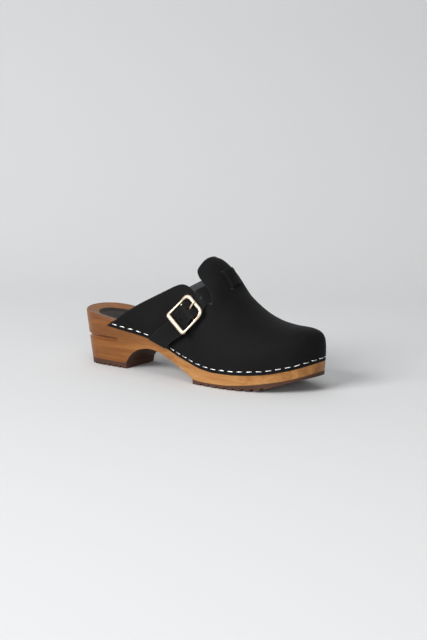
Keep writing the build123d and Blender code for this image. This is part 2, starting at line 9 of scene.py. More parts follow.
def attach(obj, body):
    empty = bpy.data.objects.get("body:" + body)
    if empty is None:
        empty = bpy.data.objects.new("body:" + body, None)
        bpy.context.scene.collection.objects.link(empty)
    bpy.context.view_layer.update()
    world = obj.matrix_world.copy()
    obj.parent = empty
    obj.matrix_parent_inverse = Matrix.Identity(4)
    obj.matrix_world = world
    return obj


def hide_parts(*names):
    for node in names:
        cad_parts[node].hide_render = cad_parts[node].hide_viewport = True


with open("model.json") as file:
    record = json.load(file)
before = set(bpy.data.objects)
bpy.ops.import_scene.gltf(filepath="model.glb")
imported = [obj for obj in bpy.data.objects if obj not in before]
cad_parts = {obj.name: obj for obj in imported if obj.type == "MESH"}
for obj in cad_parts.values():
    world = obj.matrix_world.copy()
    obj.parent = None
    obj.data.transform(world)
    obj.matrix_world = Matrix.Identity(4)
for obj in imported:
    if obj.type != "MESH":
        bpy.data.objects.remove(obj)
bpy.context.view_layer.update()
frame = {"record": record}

# The shoe is drawn in millimetres with X = 0 at the back of the heel, -Y on the outer side and Z = 0 on the
# ground. place() turns such a point into the row frame.

LENGTH = 253.0
TOE_TIP_Y = 10.0
HEEL_ROUND = 32.0
OUTER_BALL_X, INNER_BALL_X = 168.0, 182.0
TAIL_X = 39.4
TOE_CENTRE_X = 200.0
RIB_LENGTH = 72.0

UPPER_THICKNESS, STRAP_THICKNESS, TAB_THICKNESS = 2.0, 1.8, 1.2
HEEL_OUTSOLE_THICKNESS = 5.9
HEEL_OUTSOLE_BACK_X = 4.0
HEEL_BREAST_X = 58.3
FORE_OUTSOLE_X = 144.0
TREAD_WIDTH, TREAD_DEPTH = 3.0, 1.8
HEEL_TREAD_X, HEEL_TREAD_COUNT, HEEL_TREAD_PITCH = 10.5, 7, 6.5
FORE_TREAD_X, FORE_TREAD_COUNT, FORE_TREAD_PITCH = 153.5, 8, 8.5
GROOVE_Z, GROOVE_RADIUS, GROOVE_END_X = 28.0, 1.9, 48.0
RIM_ROUNDING = 1.7

STAPLE_CROWN, STAPLE_LEG, STAPLE_WIRE = 5.8, 5.0, 0.95
STAPLE_PITCH, STAPLE_HEIGHT = 8.7, 3.6
TAB_GAP, TAB_STAPLES = (92, 114), (97, 110)  # along the outer edge: no upper staples, staples of the tab
STRAP_GAP, STRAP_STAPLES = (94, 116), (97, 114)  # along the inner edge, likewise for the strap's fixed end

SLIT_Y, SLIT_WIDTH, SLIT_X = 8.9, 2.8, (153.7, 165.2)
STRAP_WIDTH, STRAP_TAIL_WIDTH, TAB_WIDTH = 17.6, 22.0, 15.0

KEEPER_AT, TOP_BAR_AT, CENTRE_BAR_AT = -13.6, 13.0, 2.2
KEEPER_RISE, TOP_BAR_RISE, CENTRE_BAR_RISE = 0.6, 1.4, -1.0
KEEPER_RADIUS, TOP_BAR_RADIUS, CENTRE_BAR_RADIUS, CENTRE_BAR_HALF = 2.1, 1.7, 1.2, 11.6
KEEPER_HALF, TOP_HALF = 12.6, 12.0
MOVING_GAP = 0.35
PRONG_RADIUS, PRONG_RING_WIDTH = 1.0, 3.4
HOLE_RADIUS = 1.4
HOLE_AT, PRONG_SLOT_AT, PRONG_SLOT_LENGTH = (-7.8, 19.6), 6.4, 6.6

PAD_BACK_X, PAD_WIDEST_X, PAD_FRONT_X = 12, 38, 92
PAD_MIDDLE_X, PAD_REACH, PAD_HALF_WIDTH, PAD_TAPER = 52.0, 39.9, 19.6, 3.4
SOCK_RECESS, SOCK_LINING = 3.2, 1.2

# ---------------------------------------------------------------- smooth tables


def smooth(table):
    """A function that runs smoothly through a table of (place, value) and never overshoots it."""
    places, values = [p for p, _ in table], [v for _, v in table]
    spans = [b - a for a, b in zip(places, places[1:])]
    slopes = [(b - a) / s for a, b, s in zip(values, values[1:], spans)]
    bends = [slopes[0]]
    for (s0, s1), (k0, k1) in zip(zip(spans, spans[1:]), zip(slopes, slopes[1:])):
        if k0 * k1 <= 0:
            bends.append(0.0)
        else:
            w0, w1 = 2 * s1 + s0, s1 + 2 * s0
            bends.append((w0 + w1) / (w0 / k0 + w1 / k1))
    bends.append(slopes[-1])

    def value(place):
        if place <= places[0]:
            return values[0]
        if place >= places[-1]:
            return values[-1]
        i = 0
        while places[i + 1] < place:
            i += 1
        t = (place - places[i]) / spans[i]
        return (
            values[i] * (1 + 2 * t) * (1 - t) ** 2
            + bends[i] * spans[i] * t * (1 - t) ** 2
            + values[i + 1] * t * t * (3 - 2 * t)
            + bends[i + 1] * spans[i] * t * t * (t - 1)
        )

    return value


def smooth_step(t):
    t = min(max(t, 0.0), 1.0)
    return t * t * (3 - 2 * t)


def superellipse(share, power):
    return max(1 - min(max(share, 0.0), 1.0) ** power, 0.0) ** (1 / power)


outer_breadth = smooth([(32, 33), (48, 33.4), (85, 30), (100, 31.2), (130, 38.6), (150, 43), (168, 44.3)])
inner_breadth = smooth([(32, 33), (48, 31.9), (85, 27), (100, 26.5), (130, 33), (160, 43), (182, 47)])
lower_edge_z = smooth(
    [(20, 42.7), (41, 41), (60, 38.4), (80, 35), (100, 30.4), (120, 24.3), (140, 19.3), (155, 15.8),
     (170, 14.2), (185, 14.3), (200, 15.2), (215, 16.8), (228, 19.4), (240, 22.6), (253, 27.5)]
)
rim_z = smooth(
    [(0, 54.0), (20, 51.5), (41, 48.4), (60, 45.7), (80, 42.3), (100, 37.7), (120, 31.8), (140, 27),
     (155, 23.5), (170, 21.9), (185, 22), (200, 23), (215, 24.5), (228, 27), (240, 30), (253, 34.5)]
)
dish_depth = smooth([(0, 5.5), (40, 5.5), (90, 2.5), (140, 3), (200, 3.5), (253, 3)])
dish_half = smooth([(0, 31), (32, 31), (85, 26), (100, 26), (130, 34), (168, 43), (200, 42), (253, 34)])
side_draft = smooth([(0, 7.0), (12, 8.0), (30, 9.5), (58, 9.0), (80, 4.0), (110, 2.0), (253, 1.2)])
ridge_z = smooth(
    [(100, 124), (125, 118.5), (138, 113.6), (144, 111.9), (150, 107.8), (156, 102), (162, 93.4),
     (168, 84.8), (175, 78), (184, 70.9), (196, 64.0), (210, 59.3), (225, 57.4), (240, 58.0), (254, 59.5)]
)
crown_fall = smooth([(60, 0.012), (120, 0.014), (150, 0.0145), (180, 0.0118), (220, 0.0075), (250, 0.006)])
shoulder = smooth([(60, 2.3), (130, 2.3), (150, 2.5), (175, 3.2), (195, 4.2), (220, 5.0), (250, 5.4)])
ridge_y = smooth([(140, 0), (200, 3), (252, TOE_TIP_Y)])
wood_bottom_z = smooth(
    [(HEEL_BREAST_X, HEEL_OUTSOLE_THICKNESS), (61.5, 11), (67, 17), (76, 22), (87, 23.8), (98, 22.4),
     (110, 18.4), (125, 13.4), (138, 7.9), (147, 4.2), (160, 3.7), (175, 3.8), (190, 4.9), (205, 6.7),
     (220, 9.4), (235, 12.6), (253, 18.4)]
)
rubber_bottom_z = smooth([(147, 0), (190, 0), (200, 0.7), (212, 2.0), (224, 5.7), (238, 10.6), (256, 15.3)])

# ---------------------------------------------------------------- frame of the buckle and of the shoe

BUCKLE_CENTRE = Vector((135.9, -41.1, 64.9))
BUCKLE_ALONG = Vector((0.586, 0.332, 0.739)).normalized()
BUCKLE_OUT = Vector((0.810, -0.194, -0.554)).cross(BUCKLE_ALONG).normalized()
BUCKLE_ACROSS = BUCKLE_ALONG.cross(BUCKLE_OUT)


def in_buckle(along, side, out):
    return BUCKLE_CENTRE + BUCKLE_ALONG * along + BUCKLE_ACROSS * side + BUCKLE_OUT * out


PIVOT = in_buckle(CENTRE_BAR_AT, 0, CENTRE_BAR_RISE)
HEEL_POINT = Vector(frame["record"]["behaviour"]["joints"][0]["pos_m"]) - PIVOT / 1000


def place(point):
    return HEEL_POINT + Vector(point) / 1000


# ---------------------------------------------------------------- plan of the sole


def edge_y(x, side, breadth, ball_x, toe_power):
    """The sole's edge: round at the heel, a table of breadths as far as the ball, round at the toe."""
    if x < HEEL_ROUND:
        return side * breadth(HEEL_ROUND) * superellipse(1 - x / HEEL_ROUND, 2.2)
    if x < ball_x:
        return side * breadth(x)
    share = (x - ball_x) / (LENGTH - ball_x)
    return TOE_TIP_Y + (side * breadth(ball_x) - TOE_TIP_Y) * superellipse(share, toe_power)


def outer_edge(x):
    return edge_y(x, -1, outer_breadth, OUTER_BALL_X, 1.95)


def inner_edge(x):
    return edge_y(x, 1, inner_breadth, INNER_BALL_X, 1.9)


def spread_places(count):
    """Places along the sole, closer together at the heel and the toe."""
    return [LENGTH * (1 - cos(pi * k / count)) / 2 for k in range(count + 1)]


def edge_inset(x, y, side, depth):
    """A point on the sole's edge moved inwards in plan; side is -1 outer, 1 inner."""
    edge = outer_edge if side < 0 else inner_edge
    a, b = max(x - 0.4, 0.0), min(x + 0.4, LENGTH)
    if x < 0.05:
        return x + depth, y
    if x > LENGTH - 0.05:
        return x - depth, y
    run_x, run_y = b - a, edge(b) - edge(a)
    size = hypot(run_x, run_y)
    return x + side * run_y / size * depth, y - side * run_x / size * depth


def footbed_z(x, y):
    sideways = min(abs(y - ridge_y(x)) / dish_half(x), 1.0)
    dish = (1 - sideways**2) ** 2 * smooth_step(x / 26) * smooth_step((LENGTH - x) / 30)
    return rim_z(x) - dish_depth(x) * dish


QUARTER_LINE = [(56, 53.1), (72, 64.2), (86, 72.2), (102.5, 81), (113, 86.5)]
quarter_top = smooth([(TAIL_X - 3, 38.4)] + QUARTER_LINE)


def top_line_z(x):
    """Upper edge of the quarters, behind the strap."""
    return quarter_top(x) if x > TAIL_X - 3 else 0.0


# ---------------------------------------------------------------- surface of the upper


def toe_edge_point(angle):
    low, high = 0.0, 90.0
    for _ in range(22):
        reach = (low + high) / 2
        x, y = TOE_CENTRE_X + reach * cos(angle), ridge_y(TOE_CENTRE_X) + reach * sin(angle)
        inside = x < LENGTH and outer_edge(x) < y < inner_edge(x)
        low, high = (reach, high) if inside else (low, reach)
    return x, y


def upper_point(along, down):
    if along > TOE_CENTRE_X:
        rib = hypot(along - TOE_CENTRE_X, down) / RIB_LENGTH
        edge_x, edge_y = toe_edge_point(atan2(down, along - TOE_CENTRE_X))
        root_x = TOE_CENTRE_X
    else:
        rib = abs(down) / RIB_LENGTH
        edge_x, edge_y = along, outer_edge(along) if down < 0 else inner_edge(along)
        root_x = along
    root_y = ridge_y(root_x)
    power = shoulder(root_x if along <= TOE_CENTRE_X else TOE_CENTRE_X + (edge_x - TOE_CENTRE_X) / 2)
    corner = 2 ** (-1 / power)
    if rib < 0.5:
        out = 2 * rib * corner
        up = superellipse(out, power)
    else:
        up = 2 * (1 - rib) * corner
        out = superellipse(max(up, 0.0), power)
    x, y = root_x + (edge_x - root_x) * out, root_y + (edge_y - root_y) * out
    foot = lower_edge_z(edge_x)
    top = ridge_z(x) - crown_fall(x) * (y - ridge_y(x)) ** 2
    return Vector((x, y, foot + up * (top - foot)))


def upper_surface(along, down):
    """(point, outward direction) on the upper."""
    step = 0.4
    forward = upper_point(along + step, down) - upper_point(along - step, down)
    sideways = upper_point(along, down + step) - upper_point(along, down - step)
    return upper_point(along, down), forward.cross(sideways).normalized()


def on_upper(along, down, lift=0.0):
    point, out = upper_surface(along, down)
    return point + out * lift


def down_at(along, side, measure, goal):
    """How far down a rib a measure of the point, which falls on the way, reaches its goal."""
    low, high = 0.0, RIB_LENGTH
    for _ in range(24):
        middle = (low + high) / 2
        low, high = (middle, high) if measure(upper_point(along, side * middle)) > goal else (low, middle)
    return side * (low + high) / 2


# ---------------------------------------------------------------- materials


def linear(red, green, blue):
    def channel(value):
        value /= 255
        return value / 12.92 if value <= 0.04045 else ((value + 0.055) / 1.055) ** 2.4

    return (channel(red), channel(green), channel(blue), 1.0)


WHITE = (1.0, 1.0, 1.0, 1.0)


class Paint:
    """A node material built up step by step."""

    def __init__(self, name):
        self.material = bpy.data.materials.new(name)
        self.material.use_nodes = True
        self.tree = self.material.node_tree
        self.shader = self.tree.nodes["Principled BSDF"]
        self.coords = self.tree.nodes.new("ShaderNodeTexCoord").outputs["Object"]

    def feed(self, socket, value):
        """Set a node's input to a value, or join it to another node's output."""
        if isinstance(value, (float, tuple)):
            socket.default_value = value
        else:
            self.tree.links.new(value, socket)

    def node(self, kind, inputs=(), **settings):
        made = self.tree.nodes.new(kind)
        for key, value in settings.items():
            setattr(made, key, value)
        for key, value in dict(inputs).items():
            self.feed(made.inputs[key], value)
        return made

    def split(self, vector):
        return self.node("ShaderNodeSeparateXYZ", {"Vector": vector}).outputs

    def maths(self, operation, first, second):
        return self.node("ShaderNodeMath", {0: first, 1: second}, operation=operation).outputs[0]

    def mapped(self, scale, turn):
        inputs = {"Vector": self.coords, "Scale": scale, "Rotation": turn}
        return self.node("ShaderNodeMapping", inputs).outputs["Vector"]

    def noise(self, vector, scale, detail=4.0, roughness=0.55, distortion=0.0):
        inputs = {"Vector": vector, "Scale": scale, "Detail": detail, "Roughness": roughness}
        inputs["Distortion"] = distortion
        return self.node("ShaderNodeTexNoise", inputs).outputs["Fac"]

    def ramp(self, value, stops):
        ramp = self.node("ShaderNodeValToRGB", {"Fac": value})
        first, last = ramp.color_ramp.elements
        first.position, first.color = stops[0]
        last.position, last.color = stops[-1]
        for position, colour in stops[1:-1]:
            ramp.color_ramp.elements.new(position).color = colour
        return ramp.outputs["Color"]

    def range(self, value, low, high, from_low=0.3, from_high=0.7):
        inputs = {"Value": value, "From Min": from_low, "From Max": from_high}
        inputs |= {"To Min": low, "To Max": high}
        return self.node("ShaderNodeMapRange", inputs).outputs["Result"]

    def mix(self, share, first, second, mode="MIX"):
        inputs = {0: share, 6: first, 7: second}
        return self.node("ShaderNodeMix", inputs, data_type="RGBA", blend_type=mode).outputs[2]

    def bump(self, height, strength, distance=0.0002, under=None):
        inputs = {"Height": height, "Strength": strength, "Distance": distance}
        if under is not None:
            inputs["Normal"] = under
        return self.node("ShaderNodeBump", inputs).outputs["Normal"]

    def set(self, **values):
        for key, value in values.items():
            self.feed(self.shader.inputs[key.replace("_", " ")], value)


def leather_paint(name, colour, rough=(0.5, 0.62), grain=0.25):
    paint = Paint(name)
    cloud = paint.noise(paint.coords, 45.0, 3.0)
    fine = paint.noise(paint.coords, 1500.0, 6.0, 0.7)
    darker = tuple(0.72 * c for c in colour[:3]) + (1.0,)
    lighter = tuple(1.25 * c for c in colour[:3]) + (1.0,)
    tone = paint.ramp(cloud, [(0.3, darker), (0.7, lighter)])
    speck = paint.mix(paint.range(fine, 0.0, 0.35), tone, tuple(1.7 * c for c in colour[:3]) + (1.0,))
    pores = paint.node("ShaderNodeTexVoronoi", {"Vector": paint.coords, "Scale": 1100.0}, feature="F1")
    bumps = paint.bump(pores.outputs["Distance"], grain, 0.0001, paint.bump(fine, grain, 0.00015))
    paint.set(Base_Color=speck, Roughness=paint.range(cloud, *rough), Normal=bumps, Specular_IOR_Level=0.07)
    paint.set(Sheen_Weight=0.02, Sheen_Roughness=0.5)
    return paint.material


def wood_paint(name):
    """Wood with its grain along the shoe, redder towards the heel, with painted shade darkening it inside
    the arch.
    """
    paint = Paint(name)
    stretched = paint.mapped((1.0, 9.0, 7.0), (0.0, radians(4), radians(2)))
    wide = paint.noise(stretched, 9.0, 3.0, 0.5, 0.6)
    streak = paint.noise(paint.mapped((1.0, 26.0, 22.0), (0.0, radians(4), 0.0)), 16.0, 5.0, 0.65)
    pore = paint.noise(paint.mapped((3.0, 90.0, 90.0), (0.0, radians(3), 0.0)), 30.0, 3.0, 0.6)
    tones = [(0.32, linear(138, 91, 40)), (0.5, linear(165, 115, 58)), (0.7, linear(182, 134, 78))]
    lines = paint.ramp(streak, [(0.35, linear(196, 156, 110)), (0.65, WHITE)])
    grained = paint.mix(0.55, paint.ramp(wide, tones), lines, "MULTIPLY")
    flecks = paint.ramp(pore, [(0.3, linear(160, 118, 80)), (0.42, WHITE)])
    flecked = paint.mix(0.4, grained, flecks, "MULTIPLY")
    ahead = paint.split(paint.coords)["X"]
    heelwards = paint.range(ahead, 0.0, 0.75, 0.02, -0.09)
    redder = paint.mix(heelwards, flecked, linear(200, 170, 110), "MULTIPLY")
    # Painted shade: faces under the arch that look down and forward are multiplied darker, standing in for
    # the shadow there.
    facing = paint.split(paint.node("ShaderNodeNewGeometry").outputs["Normal"])
    under = paint.range(paint.maths("SUBTRACT", facing["X"], facing["Z"]), 0.0, 0.85, 0.35, 1.0)
    arch_shade_share = paint.maths("MULTIPLY", under, paint.range(ahead, 0.0, 1.0, 0.03, -0.01))
    shaded = paint.mix(arch_shade_share, redder, linear(70, 56, 44), "MULTIPLY")
    paint.set(
        Base_Color=shaded,
        Roughness=paint.range(streak, 0.38, 0.52),
        Normal=paint.bump(pore, 0.12, 0.0001, paint.bump(streak, 0.1, 0.0002)),
        Specular_IOR_Level=0.35,
        Coat_Weight=0.1,
        Coat_Roughness=0.25,
    )
    return paint.material


def rubber_paint(name):
    paint = Paint(name)
    grit = paint.noise(paint.coords, 900.0, 4.0)
    clouds = paint.noise(paint.coords, 60.0)
    tone = paint.ramp(clouds, [(0.3, linear(54, 29, 16)), (0.7, linear(76, 43, 24))])
    paint.set(Base_Color=tone, Roughness=0.7, Normal=paint.bump(grit, 0.2))
    return paint.material


def metal_paint(name, colour, rough):
    paint = Paint(name)
    brushed = paint.noise(paint.coords, 700.0, 4.0)
    paint.set(Base_Color=colour, Metallic=1.0, Roughness=paint.range(brushed, rough * 0.75, rough * 1.35))
    paint.set(Normal=paint.bump(brushed, 0.04, 0.0001))
    return paint.material


def foam_paint(name):
    paint = Paint(name)
    cells = paint.noise(paint.coords, 1200.0, 3.0)
    paint.set(Base_Color=linear(190, 180, 160), Roughness=0.95, Normal=paint.bump(cells, 0.5))
    return paint.material


BLACK_LEATHER = leather_paint("black_nubuck", linear(17, 17, 18), rough=(0.62, 0.75))
STRAP_LEATHER = leather_paint("black_strap_nubuck", linear(17, 17, 18), grain=0.2)
FLESH_SIDE = leather_paint("leather_flesh_side", linear(66, 68, 72), rough=(0.8, 0.95), grain=0.5)
CUT_EDGE = leather_paint("leather_cut_edge", linear(34, 33, 34), rough=(0.7, 0.85), grain=0.4)
SOCK_LEATHER = leather_paint("sock_leather", linear(38, 32, 29), rough=(0.5, 0.65), grain=0.3)
VARNISHED_WOOD = wood_paint("varnished_alder")
OUTSOLE_RUBBER = rubber_paint("brown_rubber")
PALE_GOLD = metal_paint("pale_gold", linear(244, 224, 196), 0.33)
BRIGHT_STEEL = metal_paint("bright_steel", linear(232, 232, 230), 0.3)
FOAM = foam_paint("sock_foam_open_cell")

# ---------------------------------------------------------------- mesh helpers


def add_object(name, data):
    made = bpy.data.objects.new(name, data)
    bpy.context.scene.collection.objects.link(made)
    return made


def build(name, points, faces, materials, slots=None, sharp=35):
    """A mesh object from points in shoe millimetres."""
    mesh = bpy.data.meshes.new(name)
    mesh.from_pydata([place(p) for p in points], [], faces)
    for material in materials:
        mesh.materials.append(material)
    if slots:
        mesh.polygons.foreach_set("material_index", slots)
    mesh.validate()
    mesh.shade_smooth()
    mesh.set_sharp_from_angle(angle=radians(sharp))
    return add_object(name, mesh)


def fit_to_frame(made, body, slot, *nodes):
    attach(made, body)
    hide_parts(*nodes)


def grid_faces(rows, columns, closed=False):
    """Faces of a grid of points stored row by row; closed joins each row's ends."""
    faces = []
    for i in range(rows - 1):
        for j in range(columns if closed else columns - 1):
            k = (j + 1) % columns
            faces.append((i * columns + j, i * columns + k, (i + 1) * columns + k, (i + 1) * columns + j))
    return faces


def ring_faces(rows, columns):
    """Faces of a grid of points that closes both ways, as a ring does."""
    size = rows * columns
    return [tuple(k % size for k in face) for face in grid_faces(rows + 1, columns, closed=True)]


def add_part(points, faces, more, skin):
    """Adds the points and faces of one more part to a mesh's lists."""
    faces += [tuple(len(points) + k for k in face) for face in skin]
    points += more


def run_lengths(points):
    """Distance from the first point to each point along the route."""
    runs = [0.0]
    for a, b in zip(points, points[1:]):
        runs.append(runs[-1] + (b - a).length)
    return runs


def resampled(loop, spacing):
    """A closed loop with its points spread about this far apart."""
    points = []
    for a, b in zip(loop, loop[1:] + loop[:1]):
        pieces = max(1, round((b - a).length / spacing))
        points += [a.lerp(b, k / pieces) for k in range(pieces)]
    return points


def inside_loop(point, loop):
    crossings = 0
    for a, b in zip(loop, loop[1:] + loop[:1]):
        if (a.y > point.y) != (b.y > point.y):
            crossings += point.x < a.x + (point.y - a.y) / (b.y - a.y) * (b.x - a.x)
    return crossings % 2 == 1


def on_piece(point, loops):
    """Inside the outline, which is the first loop, and in none of the holes."""
    return inside_loop(point, loops[0]) and not any(inside_loop(point, loop) for loop in loops[1:])


def runs_left(loop, loops):
    """Whether the leather lies left of a loop: an outline counter-clockwise or a hole clockwise."""
    area = sum(a.x * b.y - b.x * a.y for a, b in zip(loop, loop[1:] + loop[:1]))
    return (area > 0) == (loop is loops[0])


def leather_piece(name, outline, holes, surface, thickness, spacing, materials):
    """A piece cut from flat leather and laid on a surface: grain side, flesh side, rounded cut edges."""
    loops = [resampled(loop, spacing) for loop in [outline] + holes]
    grid = []
    low_x, high_x = min(p.x for p in outline), max(p.x for p in outline)
    low_y, high_y = min(p.y for p in outline), max(p.y for p in outline)
    taken = [p for loop in loops for p in loop]
    cells = {}
    for p in taken:
        cells.setdefault((int(p.x // spacing), int(p.y // spacing)), []).append(p)
    for i in range(int((high_x - low_x) / spacing) + 1):
        for j in range(int((high_y - low_y) / spacing) + 1):
            p = Vector((low_x + (i + 0.5 * (j % 2)) * spacing, low_y + j * spacing * 0.97))
            cell = (int(p.x // spacing), int(p.y // spacing))
            around = [(cell[0] + a, cell[1] + b) for a in (-1, 0, 1) for b in (-1, 0, 1)]
            near = [q for beside in around for q in cells.get(beside, [])]
            if any((p - q).length < 0.62 * spacing for q in near):
                continue
            if on_piece(p, loops):
                grid.append(p)
    edges, start = [], 0
    for loop in loops:
        edges += [(start + k, start + (k + 1) % len(loop)) for k in range(len(loop))]
        start += len(loop)
    flat, _, faces, _, _, _ = delaunay_2d_cdt(taken + grid, edges, [], 0, 1e-6)
    kept = []
    for face in faces:
        middle = sum((flat[k] for k in face), Vector((0, 0))) / len(face)
        if on_piece(middle, loops):
            kept.append(tuple(face))
    round_over = 0.3 * thickness
    spots = [surface(p.x, p.y) for p in flat]
    outwards = {}
    start = 0
    for loop in loops:
        turn = 1 if runs_left(loop, loops) else -1
        for k, p in enumerate(loop):
            way = loop[(k + 1) % len(loop)] - loop[k - 1]
            off = Vector((way.y, -way.x)).normalized() * turn * 0.3
            out = surface(p.x + off.x, p.y + off.y)[0] - spots[start + k][0]
            outwards[start + k] = (out - spots[start + k][1] * out.dot(spots[start + k][1])).normalized()
        start += len(loop)

    def lifted(k, lift, out):
        return spots[k][0] + spots[k][1] * lift + outwards.get(k, Vector()) * out

    count = len(flat)
    points = [lifted(k, 0.0, -round_over) for k in range(count)]
    points += [lifted(k, -thickness, -round_over) for k in range(count)]
    up = (points[kept[0][1]] - points[kept[0][0]]).cross(points[kept[0][2]] - points[kept[0][0]])
    flip = up.dot(spots[kept[0][0]][1]) < 0
    grain = [tuple(reversed(f)) if flip else f for f in kept]
    all_faces = list(grain) + [tuple(count + k for k in reversed(f)) for f in grain]
    slots = [0] * len(grain) + [1] * len(grain)
    start = 0
    for loop in loops:
        size = len(loop)
        rings = [[start + k for k in range(size)]]
        for lift, out in ((-0.12, -0.08), (-0.3, 0.0), (-0.7, 0.0), (-0.88, -0.08)):
            base = len(points)
            points += [lifted(start + k, lift * thickness, out * thickness) for k in range(size)]
            rings.append([base + k for k in range(size)])
        rings.append([count + start + k for k in range(size)])
        forward = runs_left(loop, loops) != flip
        for upper_ring, lower_ring in zip(rings, rings[1:]):
            for k in range(size):
                n = (k + 1) % size
                quad = (upper_ring[k], lower_ring[k], lower_ring[n], upper_ring[n])
                all_faces.append(quad if forward else tuple(reversed(quad)))
                slots.append(2)
        start += size
    return build(name, points, all_faces, materials, slots, sharp=50)


def between(p0, p1, p2, p3, t):
    """The point at share t from p1 to p2 on a smooth curve through four points."""
    return 0.5 * (2 * p1 + (p2 - p0) * t + (2 * p0 - 5 * p1 + 4 * p2 - p3) * t * t
                  + (3 * p1 - p0 - 3 * p2 + p3) * t**3)


def curved(points, steps=6):
    """Points on a smooth open curve through these 2-D points."""
    found = []
    for k in range(len(points) - 1):
        p1, p2 = points[k], points[k + 1]
        p0 = points[k - 1] if k else p1 * 2 - p2
        p3 = points[k + 2] if k + 2 < len(points) else p2 * 2 - p1
        found += [between(p0, p1, p2, p3, step / steps) for step in range(steps)]
    return found + [points[-1]]


# ---------------------------------------------------------------- upper


def on_pattern(side, profile):
    """Side-profile points (x, height) as points of the flat pattern on one side of the upper."""
    return [Vector((x, down_at(x, side, lambda p: p.z, z))) for x, z in profile]


def side_profile():
    """Top line, strap notch and the end of the tongue, in X and Z, up to the ridge."""
    def run(*table):
        return [tuple(p) for p in curved([Vector(p) for p in table])]

    top_line = run((TAIL_X + 0.4, 40.9), (48, 46.5), *QUARTER_LINE, (121, 89.1), (128, 88.2), (134, 85),
                   (141, 79.7), (149, 75.6), (157.4, 74.4))
    tongue = run((157.4, 74.4), (152.2, 84.2), (146.5, 89.8), (141.2, 93.8), (136.2, 97.6), (133, 102.6),
                 (134.2, 108.4))
    return top_line + tongue[1:]


def upper_outline():
    profile = side_profile()
    outer = on_pattern(-1, profile)
    inner = on_pattern(1, profile)
    end = curved([outer[-1], Vector((136.6, -6)), Vector((137.3, 0)), Vector((136.6, 6)), inner[-1]])
    lower = [Vector((x, -RIB_LENGTH)) for x in (TOE_CENTRE_X, 150, 100, 60, TAIL_X + 0.5)]
    toe = [
        Vector((TOE_CENTRE_X + RIB_LENGTH * cos(a), RIB_LENGTH * sin(a)))
        for a in (radians(90 - 5 * k) for k in range(37))
    ]
    inner_lower = [Vector((x, RIB_LENGTH)) for x in (TAIL_X + 0.5, 60, 100, 150)]
    return outer + end[1:-1] + inner[::-1] + inner_lower + toe[:-1] + lower


def slit_outline(side):
    corners = []
    near, far = SLIT_Y - SLIT_WIDTH / 2, SLIT_Y + SLIT_WIDTH / 2
    for x, y in ((SLIT_X[0], near), (SLIT_X[1], near), (SLIT_X[1], far), (SLIT_X[0], far)):
        corners.append(Vector((x, down_at(x, side, lambda p: -abs(p.y - ridge_y(p.x)), -y))))
    return corners


upper = leather_piece(
    "upper_leather", upper_outline(), [slit_outline(-1), slit_outline(1)], upper_surface, UPPER_THICKNESS,
    2.4, [BLACK_LEATHER, FLESH_SIDE, CUT_EDGE],
)
fit_to_frame(upper, "clog", "upper_leather", "upper")

# ---------------------------------------------------------------- strap and buckle tab

SLOPE_ACROSS = Vector((0.575, 0, -0.818))
TAIL_ACROSS = Vector((0.967, -0.146, -0.257))
BESIDE_ACROSS = Vector((0.84, 0, -0.54))


def strap_stations():
    """(centre, width direction, width) along the strap, from its free end to its fixed inner end."""
    middle = (SLIT_X[0] + SLIT_X[1]) / 2
    half = STRAP_THICKNESS / 2
    rest = half + 0.15
    under = -UPPER_THICKNESS - half - 0.05
    stations = [
        (Vector((100.6, -35.8, 31.5)), TAIL_ACROSS, STRAP_TAIL_WIDTH),
        (Vector((113.0, -40.4, 42.4)), (TAIL_ACROSS + BUCKLE_ACROSS) / 2, STRAP_TAIL_WIDTH - 1),
    ]
    threaded = [(KEEPER_AT, -3.4), (-7.6, -0.4), (-2.0, 2.1), (CENTRE_BAR_AT, 2.8), (6.4, 1.3),
                (10.3, -1.2), (TOP_BAR_AT, -2.1)]
    for along, out in threaded:
        width = STRAP_WIDTH + (2.0 if along < -5 else 0.0)
        stations.append((in_buckle(along, 0.6, out), BUCKLE_ACROSS, width))
    way = []
    for side in (-1, 1):
        way = [
            (on_upper(146.5, side * 34.4, rest), Vector((0.76, side * 0.05, -0.64)), STRAP_WIDTH),
            (on_upper(152.9, side * 28.6, under), Vector((0.68, side * 0.05, -0.73)), STRAP_WIDTH),
            (on_upper(157.3, side * 17.5, under), SLOPE_ACROSS, STRAP_WIDTH),
            (on_upper(middle, side * 11.2, under + 0.7), SLOPE_ACROSS, STRAP_WIDTH),
            (on_upper(middle, side * 6.6, half - 0.2), SLOPE_ACROSS, STRAP_WIDTH),
        ]
        if side < 0:
            stations += way + [(on_upper(middle, 0, rest), SLOPE_ACROSS, STRAP_WIDTH)]
    stations += way[::-1]
    for along, down in ((137, 41.5), (125, 51), (114, 60), (105, 71)):
        stations.append((on_upper(along, down, rest), BESIDE_ACROSS, STRAP_WIDTH + 1))
    return stations


def tab_stations():
    """The buckle tab: up the outer quarter, round the centre bar and back down onto itself."""
    half = TAB_THICKNESS / 2
    turn = CENTRE_BAR_RADIUS + MOVING_GAP + half
    stations = [
        (on_upper(104.5, -70, half + 0.1), TAIL_ACROSS, TAB_WIDTH),
        (on_upper(113.5, -62, half + 0.1), (TAIL_ACROSS + BUCKLE_ACROSS) / 2, TAB_WIDTH),
        (on_upper(123.5, -55, half + 0.1), BUCKLE_ACROSS, TAB_WIDTH),
        (in_buckle(-8, 0, -6.4), BUCKLE_ACROSS, TAB_WIDTH),
        (in_buckle(-3, 0, -4.2), BUCKLE_ACROSS, TAB_WIDTH),
    ]
    for angle in (-90, -45, 0, 45, 90):
        along = CENTRE_BAR_AT + turn * cos(radians(angle))
        out = CENTRE_BAR_RISE + turn * sin(radians(angle))
        stations.append((in_buckle(along, 0, out), BUCKLE_ACROSS, TAB_WIDTH))
    for along, out in ((-2.0, 0.1), (-6.0, -2.8), (-11.0, -5.6)):
        stations.append((in_buckle(along, 0, out), BUCKLE_ACROSS, TAB_WIDTH))
    return stations


